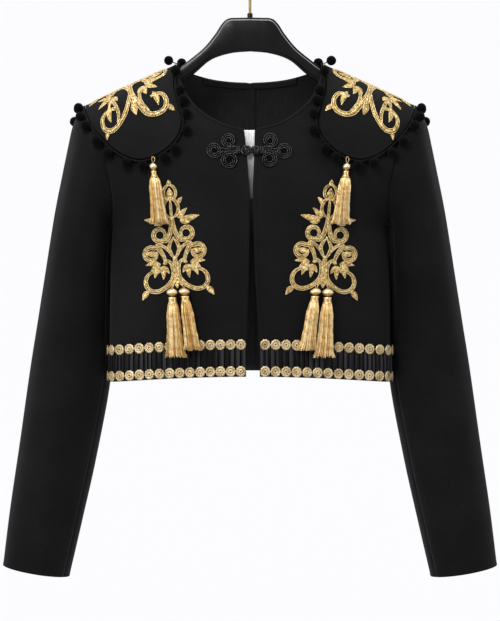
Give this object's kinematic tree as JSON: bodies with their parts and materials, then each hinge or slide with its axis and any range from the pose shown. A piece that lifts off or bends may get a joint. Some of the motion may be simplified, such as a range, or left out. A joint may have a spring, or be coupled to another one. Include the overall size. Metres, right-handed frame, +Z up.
{
  "type": "matador jacket on a hanger",
  "caption": "Cropped black matador jacket with tasselled shoulder pieces, gold embroidery, frog fastening and medallion hem trim, hung on a plain hanger.",
  "frame": {"origin": "inner top of the hanger's hook, where the rail carries it", "axes": "+Z up, -Y towards the front of the jacket, +X to the wearer's left; the hanger lies in the plane Y = 0"},
  "size_m": [0.6436, 0.1844, 0.8025],
  "materials": {
    "wool_cloth": "matte fine weave",
    "satin_band": "pleated satin",
    "black_cord": "twisted cord and wool pom-poms",
    "gold_thread": "metallic gold thread and cord",
    "pale_gold_lace": "pale metallic lace",
    "hanger_plastic": "satin moulded",
    "brass_wire": "polished wire"
  },
  "bodies": {
    "root": {"applique_left": "gold_thread", "applique_right": "gold_thread", "back_left": "wool_cloth", "back_neck_facing": "wool_cloth", "back_right": "wool_cloth", "embroidery_left": "gold_thread", "embroidery_right": "gold_thread", "epaulette_left": "wool_cloth", "epaulette_right": "wool_cloth", "frog_knot": "black_cord", "frog_left": "black_cord", "frog_right": "black_cord", "front_left": "wool_cloth", "front_right": "wool_cloth", "hanger_arms": "hanger_plastic", "hanger_ferrule": "hanger_plastic", "hanger_hook": "brass_wire", "medallions_lower_back": "pale_gold_lace", "medallions_lower_front_left": "pale_gold_lace", "medallions_lower_front_right": "pale_gold_lace", "medallions_upper_back": "pale_gold_lace", "medallions_upper_front_left": "pale_gold_lace", "medallions_upper_front_right": "pale_gold_lace", "pleated_band_back": "satin_band", "pleated_band_front_left": "satin_band", "pleated_band_front_right": "satin_band", "pom_trim_left": "black_cord", "pom_trim_right": "black_cord", "tassel_inner_left": "gold_thread", "tassel_inner_right": "gold_thread", "tassel_outer_left": "gold_thread", "tassel_outer_right": "gold_thread", "tassel_shoulder_left": "gold_thread", "tassel_shoulder_right": "gold_thread", "under_sleeve_left": "wool_cloth", "under_sleeve_right": "wool_cloth", "upper_sleeve_left": "wool_cloth", "upper_sleeve_right": "wool_cloth"}
  },
  "joints": []
}
